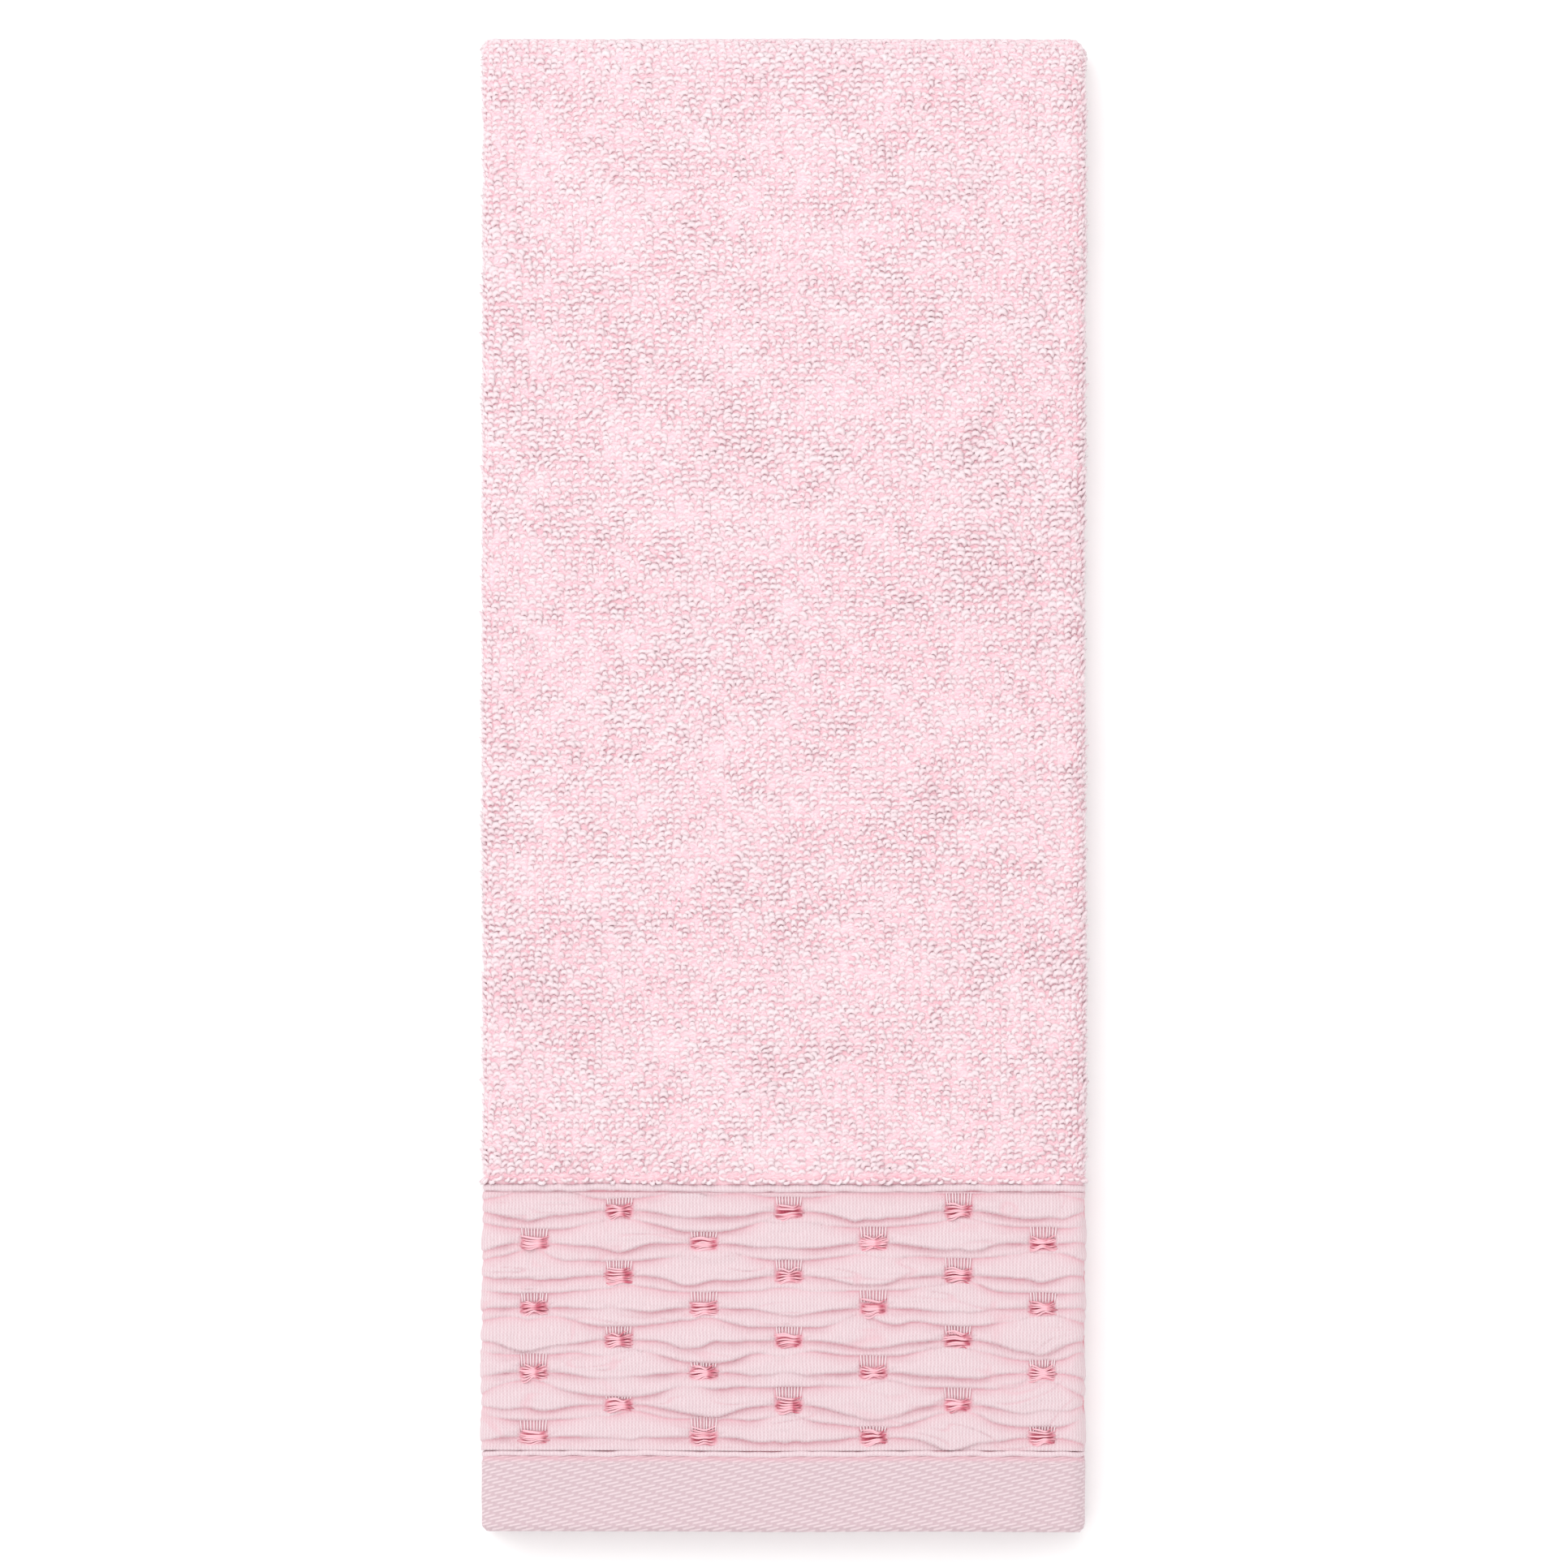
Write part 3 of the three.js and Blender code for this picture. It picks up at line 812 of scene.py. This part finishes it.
def wander(seed, across, cell):
    """Smooth noise from -1 to 1 along a line."""
    return drift(seed, across, 0 * across, cell, 1)


def knot_tuck(row, across):
    """Where the tuck runs that joins the knots of a row."""
    free = slack(row, across)
    sag = 1.5 + 1.6 * wander(40 + row, across - knot_shift(row), KNOT_SPACING)
    ripple = 1.3 * wander(60 + row, across, 9 * MM) + 0.3 * wander(70 + row, across, 3.2 * MM)
    return ROWS[row] - MM * free * (sag + ripple)


def comb_tuck(row, across):
    """Where the tuck runs that the combs above a row's knots come out of."""
    free = slack(row, across)
    ripple = 1.6 * wander(80 + row, across, 10 * MM) + 0.3 * wander(90 + row, across, 3.2 * MM)
    shown = 1.5 * wander(95 + row, across - knot_shift(row), KNOT_SPACING) - 0.6
    raised = 1.7 * free + shown * (1 - free) + ripple * (0.15 + 0.85 * free)
    return ROWS[row] + COMB_REACH + MM * raised


def tucks(across):
    """Every tuck from the terry down to the hem: where it runs, and how deep it is."""
    lines = [(np.full_like(across, BORDER[1] + 0.6 * MM), 0.9 + 0 * across)]
    for row in range(len(ROWS)):
        free = slack(row, across)
        fading = 0.65 + 0.8 * wander(100 + row, across, 14 * MM)
        lines.append((comb_tuck(row, across), np.clip(1.0 - fading * free, 0.08, 1)))
        fading = 0.35 + 0.8 * wander(120 + row, across, 16 * MM)
        lines.append((knot_tuck(row, across), np.clip(1.0 - fading * free, 0.15, 1)))
    lines.append((np.full_like(across, BORDER[0] - 0.5 * MM), 0.8 + 0 * across))
    settled = lines[:1]
    for place_of, deep in lines[1:]:
        settled.append((np.minimum(place_of, settled[-1][0] - CLOSEST_TUCKS), deep))
    return settled


def puffs(across, up):
    """Height and painted tuck shade of the puffs, which hang over the tuck below them like
    shingles.
    """
    height = np.zeros_like(across)
    tuck = np.zeros_like(across)
    lines = tucks(across)
    for (above, deep_above), (below, deep_below) in zip(lines, lines[1:]):
        inside = (up <= above) & (up > below)
        length = above - below
        t = np.clip((above - up) / length, 0, 1)
        swell = np.clip(t / PUFF_SWELL, 0, 1)
        swell = swell * swell * (3 - 2 * swell)
        rim = np.clip(PUFF_LIP / length, 0.08, 0.4)
        lip = np.sqrt(1 - np.clip((t - 1 + rim) / rim, 0, 1) ** 2)
        deep = deep_above * (1 - t) + deep_below * t
        puff = 1 - deep * (1 - swell * lip)
        wide = np.clip(length / PUFF_PITCH, 0.35, 1.15)
        height = np.where(inside, puff * wide, height)
        # Painted shade: a rose band fading down from each tuck, and a thin darker line along the
        # tucks.
        under = np.maximum(above - up, 0)
        shade = deep_above * np.exp(-((under / (1.45 * MM)) ** 1.3))
        line = deep_above * np.exp(-((under / (0.30 * MM)) ** 2))
        line += 0.6 * deep_below * np.exp(-(((up - below) / (0.15 * MM)) ** 2))
        tuck = np.where(inside, np.clip(0.27 * shade + 0.22 * line, 0, 0.55), tuck)
    return height, tuck


def knotted(across, up, height, tuck):
    """The puffs sunk where the knots pinch them, the rays that fan out from the knots, and painted
    shade: rose between the comb threads and deep rose in the beds of the floats.
    """
    rays = np.zeros_like(across)
    for row in range(len(ROWS)):
        away = np.abs(off_knot(row, across))
        outside = np.hypot(away - KNOT_HALF * 0.8, 1.5 * (up - ROWS[row]))
        aim = np.arctan2(1.5 * (up - ROWS[row]), away - KNOT_HALF * 0.8)
        fan = np.sin(9 * aim + 5 * wander(150 + row, across, KNOT_SPACING)) * (away > KNOT_HALF)
        rays += KNOT_RAYS * fan * np.exp(-outside / (3.2 * MM)) * np.clip(outside / MM, 0, 1)
        beside = 1 - np.clip((away - KNOT_HALF) / (4.5 * MM), 0, 1)
        tall = (up - ROWS[row]) / MM
        at_knot = beside**1.5 * np.exp(-((tall / 2.3) ** 2))
        within = 1 - np.clip((away - KNOT_HALF) / (0.5 * MM), 0, 1)
        at_comb = within * (tall > 1.3) * (up < comb_tuck(row, across))
        sunk = np.clip(0.8 * at_knot + 0.6 * at_comb, 0, 0.9)
        height = height * (1 - sunk)
        # Painted shade: rose between the comb threads, and deep rose in the bed under each knot's
        # floats.
        tuck = np.where(at_comb > 0.5, np.maximum(tuck, 0.38), tuck)
        bed = np.exp(-((away / (3.9 * MM)) ** 8) - (tall / 1.8) ** 4)
        tuck = np.maximum(tuck, 0.85 * bed)
    return height, tuck, rays


def smocking(across, up):
    """Relief of the gathered cloth: its puffs, pinched by the knots, and its wrinkles, with the
    painted shade of its tucks and wrinkles.
    """
    height, tuck, rays = knotted(across, up, *puffs(across, up))
    slant = up + 0.22 * across * drift(143, across, up, 30 * MM, 12 * MM)
    pucker = 0.6 * drift(140, across, slant, 9 * MM, 1.7 * MM)
    pucker = pucker + 0.4 * drift(141, across, up, 4 * MM, 0.9 * MM)
    height = height * PUFF_HEIGHT * (1 + 0.22 * drift(142, across, up, 20 * MM, 8 * MM))
    at_side = np.clip((np.abs(across) - 52 * MM) / (20 * MM), 0, 1)
    zero = np.abs(drift(144, across, slant, 13 * MM, 3.0 * MM))
    likely = np.clip(0.3 + 0.5 * at_side + 1.4 * drift(145, across, up, 8 * MM, 5 * MM), 0, 1)
    wrinkle = np.clip(1 - zero / 0.16, 0, 1) * likely
    open_cloth = np.clip(1 - tuck / 0.3, 0, 1)
    # Painted shade along the wrinkles.
    tuck = np.maximum(tuck, 0.18 * wrinkle)
    height = height + PUCKERS * pucker + rays - WRINKLES * wrinkle * open_cloth
    round_side = np.clip((np.abs(across + 0.8 * MM) - ROUNDED_FROM) / (6 * MM), 0, 1)
    return height * (1 - 0.6 * round_side) + SIDE_ROUND * round_side, tuck


def border(half):
    """The gathered cloth of the face and of the flap; the upper face's is the finest."""
    face_cells, face_cuts = ((84, 64), 3) if half == "upper" else ((96, 64), 1)
    face = strip(f"{half}_face_smocking", half, GATHERED, FACE_SPAN, BORDER, face_cells,
                 BORDER_FACE, GATHERED_CLOTH, smocking, cuts=face_cuts)
    belongs(face, half, "smocked_cloth", "smocked_border")
    flap = strip(f"{half}_flap_smocking", half, GATHERED, FLAP_INSIDE, BORDER, (74, 56),
                 BORDER_FACE, GATHERED_CLOTH, smocking, cuts=1)
    belongs(flap, half, "smocked_cloth")
    return [face], [flap]


# ---- Rose floats and combs ----

STRANDS = 9  # in a knot
STRAND_RADIUS = 0.20 * MM
COMB_THREADS = 9
COMB_RADIUS = 0.18 * MM
SPANS = {
    "face": FACE_SPAN,
    "flap": (RIGHT_FLAP, CLOTH_WIDTH - SIDE_HEM - KNOT_HALF),
}


def strand(name, material, sides, steps, radius):
    """A straight closed thread from x = -1 to x = 1, to be bent later."""
    bm = bmesh.new()
    ring = bmesh.ops.create_circle(bm, segments=sides, radius=radius)["verts"]
    bmesh.ops.rotate(bm, verts=ring, matrix=Matrix.Rotation(math.pi / 2, 3, "Y"))
    bmesh.ops.translate(bm, verts=ring, vec=(-1, 0, 0))
    edges = bm.edges[:]
    for _ in range(steps):
        grown = bmesh.ops.extrude_edge_only(bm, edges=edges)["geom"]
        verts = [g for g in grown if isinstance(g, bmesh.types.BMVert)]
        edges = [g for g in grown if isinstance(g, bmesh.types.BMEdge)]
        bmesh.ops.translate(bm, verts=verts, vec=(2 / steps, 0, 0))
    bmesh.ops.holes_fill(bm, edges=bm.edges[:], sides=sides)
    return finished(bm, name, material)


def knots_on(row, span):
    """Where the knots of a row are between two places along the cloth."""
    even = knot_shift(row) + KNOT_SPACING * np.arange(-4, 8)
    across = even
    # Approached in steps, until across + pulled(across) is even.
    for _ in range(20):
        across = across + 0.5 * (even - across - pulled(across))
    places = MIDDLE + across
    return places[(places > span[0]) & (places <= span[1])]


def floats(name, half, row, span, sides, steps):
    """The bundles of floats that pinch one row, splayed at their ends."""
    knots = knots_on(row, span)
    count = len(knots)
    piece = repeated(strand(name, ROSE_FLOATS, sides, steps, STRAND_RADIUS), STRANDS, count)
    mesh = piece.data
    shape = coordinates(mesh).reshape(count, STRANDS, -1, 3)
    rng = np.random.default_rng([7, row, count])
    t = shape[..., 0]
    b, h = (shape[..., axis] * (0.75 + 0.65 * (1 - t**2)) for axis in (1, 2))
    order = (np.arange(STRANDS) / (STRANDS - 1) * 2 - 1)[None, :, None]
    waist = rng.uniform(-0.05, 0.42, (count, 1, 1))
    pinch = np.exp(-(((t - waist) / 0.45) ** 2))
    narrowed = rng.uniform(0.25, 0.62, (count, 1, 1))
    uneven = rng.normal(0, 0.14, (count, STRANDS, 1))
    tall = rng.uniform(0.9, 1.12, (count, 1, 1)) * KNOT_TALL
    up = ROWS[row] + (order + uneven) * tall * (1 - narrowed * pinch) + b
    up = up + 0.35 * MM * np.sin(2.2 * t + rng.uniform(-1.5, 1.5, (count, 1, 1))) * (1 - pinch)
    reach = KNOT_HALF * (1 + rng.normal(0.02, 0.13, (count, STRANDS, 1)))
    s = knots[:, None, None] + t * reach
    arch = 0.80 * (1 - np.abs(t) ** 3) - 0.25 * pinch + 0.08 * rng.normal(0, 1, (count, STRANDS, 1))
    depth = BORDER_FACE - h - MM * (0.05 + arch)
    place(mesh, fold(half, s.ravel(), up.ravel(), depth.ravel()))
    # Painted shade: a darker rose patch where the strands sink at the pinch, and darker ends where
    # they go into the cloth.
    pinch_shade = rng.uniform(0.45, 1.0, (count, 1, 1))
    ends = rng.uniform(0.3, 1.1, (count, STRANDS, 1)) * np.abs(t) ** 3
    lit = 0.95 - pinch_shade * np.exp(-(((t - waist - 0.28) / 0.24) ** 2)) - ends
    lit = lit + rng.normal(0, 0.18, (count, STRANDS, 1))
    mark(mesh, "tone", np.clip(lit, 0, 1).ravel())
    return piece


def combs(name, half, row, span):
    """The warp threads that show, like the teeth of a comb, above each knot."""
    knots = knots_on(row, span)
    count = len(knots)
    piece = repeated(strand(name, COMB_YARN, 4, 4, COMB_RADIUS), COMB_THREADS, count)
    mesh = piece.data
    shape = coordinates(mesh).reshape(count, COMB_THREADS, -1, 3)
    rng = np.random.default_rng([9, row, count])
    t, b, h = shape[..., 0], shape[..., 1], shape[..., 2]
    order = (np.arange(COMB_THREADS) / (COMB_THREADS - 1) * 2 - 1)[None, :, None]
    top = comb_tuck(row, knots - MIDDLE)[:, None, None] + 0.5 * MM
    bottom = ROWS[row] + 0.75 * KNOT_TALL
    up = bottom + (t + 1) / 2 * (top - bottom)
    s = knots[:, None, None] + order * (3.35 + 0.14 * t) * MM + b
    s = s + rng.normal(0, 0.06 * MM, (count, COMB_THREADS, 1))
    depth = BORDER_FACE - h - MM * (0.42 + 0.16 * (1 - t**2))
    place(mesh, fold(half, s.ravel(), up.ravel(), depth.ravel()))
    # Painted shade: each thread darkens towards its ends, where it goes under the tucks.
    mark(mesh, "tone", np.clip(0.8 - 0.3 * t**2, 0, 1).ravel())
    return piece


def gathering(half):
    """The floats and the combs of every row, on the face and on the flap."""
    pieces = {"face": [], "flap": []}
    for row in range(len(ROWS)):
        number = row + 1
        for label, span in SPANS.items():
            fine = half == "upper" and label == "face"
            sides, steps = (5, 10) if fine else (4, 8)
            bundle = floats(f"{half}_{label}_floats_{number}", half, row, span, sides, steps)
            nodes = [f"gathering_row_{number}"] if label == "face" else []
            belongs(bundle, half, "rose_thread", *nodes)
            comb = combs(f"{half}_{label}_combs_{number}", half, row, span)
            belongs(comb, half, "rose_thread")
            pieces[label] += [bundle, comb]
    return pieces["face"], pieces["flap"]


# ---- Welts and hems ----

INSIDE = (SIDE_HEM, CLOTH_WIDTH - SIDE_HEM)  # between the two side hems
STITCH = 2.6 * MM
STITCH_INSET = 1.6 * MM
STITCH_RADIUS = 0.17 * MM
STITCH_HALF = 0.42  # share of a stitch's length from its middle to its end
HEM_ROUND = 0.9 * MM
WELT_OVERLAP = 0.35 * MM
WELT_RISE = 1.3 * MM
END_HEM_DEPTH, END_HEM_CLOTH = 0.35 * MM, 1.9 * MM  # of its face, and its thickness
SIDE_HEM_DEPTH, SIDE_HEM_CLOTH = 0.6 * MM, 1.7 * MM
SEAM_DEPTH = {"end": 0.32 * MM, "side": 0.58 * MM}


def rolled(low, high, seed):
    """Relief of a rolled ridge whose edges are a little scalloped, with painted shade where it
    rounds under at its edges.
    """

    def relief(across, up):
        ripple = 0.6 * wander(seed, across, 4.8 * MM) + 0.4 * wander(seed + 1, across, 1.9 * MM)
        t = (up - low) / (high - low) + 0.22 * ripple
        round_over = np.sqrt(np.clip(1 - (2 * t - 1) ** 2, 0, 1))
        # Painted shade where the ridge rounds under.
        tuck = 0.5 * (1 - np.clip(round_over / 0.6, 0, 1))
        return WELT_RISE * round_over, tuck

    return relief


def welts(half):
    """The two rolled ridges beside the border."""
    pieces = []
    for label, (low, high), seed in (("terry_welt", TERRY_WELT, 160), ("hem_welt", HEM_WELT, 170)):
        low, high = low - WELT_OVERLAP, high + WELT_OVERLAP
        piece = strip(f"{half}_{label}_roll", half, ROLLED, INSIDE, (low, high), (210, 6),
                      BORDER_FACE, GATHERED_CLOTH, rolled(low, high, seed), cuts=1)
        pieces.append(belongs(piece, half, "welt", label))
    return pieces


def rounded(inset):
    """A quarter circle up from 0 at an edge, which is 1 from an inset of HEM_ROUND on."""
    return np.sqrt(np.clip(1 - np.clip(1 - inset / HEM_ROUND, 0, 1) ** 2, 0, 1))


def turned_end(across, up):
    """Relief of the end hem: flat, rounded over at the free end, a little wavy, with painted shade
    in the groove along its inner edge.
    """
    lip = rounded(up - HEM[0])
    wave = 0.16 * drift(180, across, up, 18 * MM, 9 * MM)
    wave = wave + 0.06 * drift(181, across, up, 5 * MM, 4 * MM)
    inner = np.exp(-(((HEM[1] - up) / (0.8 * MM)) ** 2))
    # Painted shade in the groove along the inner edge.
    return MM * (0.9 * (lip - 1) + wave - 0.35 * inner), 0.3 * inner


def turned_side(span):
    """Relief of a side hem, rounded at both edges, with painted shade where it rounds over."""

    def relief(across, up):
        s = across + MIDDLE
        lip = rounded(np.minimum(s - span[0], span[1] - s))
        wave = 0.15 * drift(190, s, up, 7 * MM, 11 * MM)
        # Painted shade where the edges round over.
        return MM * (0.8 * (lip - 1) + wave), 0.2 * (1 - lip)

    return relief


def stitching(name, half, start, end, depth, creased=True):
    """A row of lock stitches from one (along, up) place to the other."""
    start, end = np.array(start), np.array(end)
    length = float(np.linalg.norm(end - start))
    count = round(length / STITCH)
    piece = repeated(strand(name, SEWING_YARN, 4, 4, STITCH_RADIUS), count, 1)
    shape = coordinates(piece.data).reshape(count, -1, 3)
    t, b, h = shape[..., 0], shape[..., 1], shape[..., 2]
    run = (end - start) / length
    far = (np.arange(count)[:, None] + 0.5 + STITCH_HALF * t) * length / count
    s = start[0] + run[0] * far - run[1] * b
    up = start[1] + run[1] * far + run[0] * b
    sunk = depth - h + 0.30 * MM * t**4
    mark(piece.data, "tone", np.full(shape[..., 0].size, 0.8))
    place(piece.data, fold(half, s.ravel(), up.ravel(), sunk.ravel(), creased))
    return belongs(piece, half, "sewing_thread")


def hems(half):
    """The end hem and the two side hems, each with its row of stitches."""
    end = strip(f"{half}_twill_hem", half, TWILL, INSIDE, (HEM[0], HEM[1] + WELT_OVERLAP),
                (240, 12), END_HEM_DEPTH, END_HEM_CLOTH, turned_end, cuts=1)
    belongs(end, half, "twill_hem", "end_hem")
    seam = HEM[1] - STITCH_INSET
    rows = [stitching(f"{half}_end_stitches", half, (INSIDE[0], seam), (INSIDE[1], seam),
                      SEAM_DEPTH["end"])]
    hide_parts(f"{half}_end_hem_stitching")
    pieces = [end]
    for side, span in (("left", (0, INSIDE[0])), ("right", (INSIDE[1], CLOTH_WIDTH))):
        creased = side == "left"
        top = CREASE_Y + TUCKED_RISE if creased else FLAP_TOP
        edge = strip(f"{half}_{side}_turned_edge", half, TURNED_EDGE, span, (HEM[0], top),
                     (10, 150), SIDE_HEM_DEPTH, SIDE_HEM_CLOTH, turned_side(span), creased)
        belongs(edge, half, "side_hem", f"{side}_side_hem")
        seam = span[1] - STITCH_INSET if creased else span[0] + STITCH_INSET
        row = stitching(f"{half}_{side}_stitches", half, (seam, HEM[0] + 2 * MM), (seam, top - MM),
                        SEAM_DEPTH["side"], creased)
        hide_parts(f"{half}_{side}_side_stitching")
        pieces.append(edge)
        rows.append(row)
    return pieces + rows


# ---- Floor, light and camera ----

FRAME_HEIGHT = 0.4317  # of the view, at the level of the towel's upper face
CAMERA_HEIGHT = 8.0
SENSOR = 36
FLOOR_DARK, FLOOR_LIGHT = (0.965,) * 3, (0.985,) * 3
STUDIO_COLOUR = (1.0, 0.995, 0.99, 1)
STUDIO_STRENGTH = 1.12
LAMP_PLACE = (-0.45, 0.50, 1.20)
LAMP_AIM = (0, 0.02, 0)
LAMP_SIZE = 1.5
LAMP_ENERGY = 7.8


def stage():
    """A plain pale floor."""
    bm = bmesh.new()
    bmesh.ops.create_grid(bm, x_segments=1, y_segments=1, size=3.0)
    material, tree, shader = new_material("pale_floor", 0.9, 0.0)
    cloud = add(tree, "TexNoise", Vector=add(tree, "TexCoord").outputs["Object"], Scale=3.0)
    colour = colours(tree, cloud.outputs["Fac"], (0.0, FLOOR_DARK), (1.0, FLOOR_LIGHT))
    tree.links.new(colour, shader.inputs["Base Color"])
    floor = finished(bm, "floor", material)


def light():
    """Even light from all round, and a large soft lamp from the upper left."""
    world = bpy.data.worlds.new("studio")
    bpy.context.scene.world = world
    world.use_nodes = True
    background = world.node_tree.nodes["Background"]
    background.inputs["Color"].default_value = STUDIO_COLOUR
    background.inputs["Strength"].default_value = STUDIO_STRENGTH
    lamp = bpy.data.lights.new("soft_window", "AREA")
    lamp.shape = "DISK"
    lamp.size = LAMP_SIZE
    lamp.energy = LAMP_ENERGY
    window = bpy.data.objects.new("soft_window", lamp)
    window.location = LAMP_PLACE
    aim = Vector(LAMP_AIM) - window.location
    window.rotation_euler = aim.to_track_quat("-Z", "Y").to_euler()
    bpy.context.scene.collection.objects.link(window)


def camera():
    """Straight above the towel, and far up, so that there's little perspective."""
    lens = bpy.data.cameras.new("above")
    eye = bpy.data.objects.new("above", lens)
    bpy.context.scene.collection.objects.link(eye)
    eye.location = (0, 0, CAMERA_HEIGHT)
    lens.sensor_width = SENSOR
    lens.lens = SENSOR * (CAMERA_HEIGHT - THICKNESS) / FRAME_HEIGHT
    bpy.context.scene.camera = eye


bpy.context.scene.view_settings.view_transform = "Standard"
camera()
light()
stage()
for half in HALVES:
    face, flap = cloth(half)
    on_face, on_flap = [], []
    for make in (terry, border, gathering):
        more_face, more_flap = make(half)
        on_face += more_face
        on_flap += more_flap
    on_face += welts(half) + hems(half)

crease_band()

bpy.context.view_layer.update()
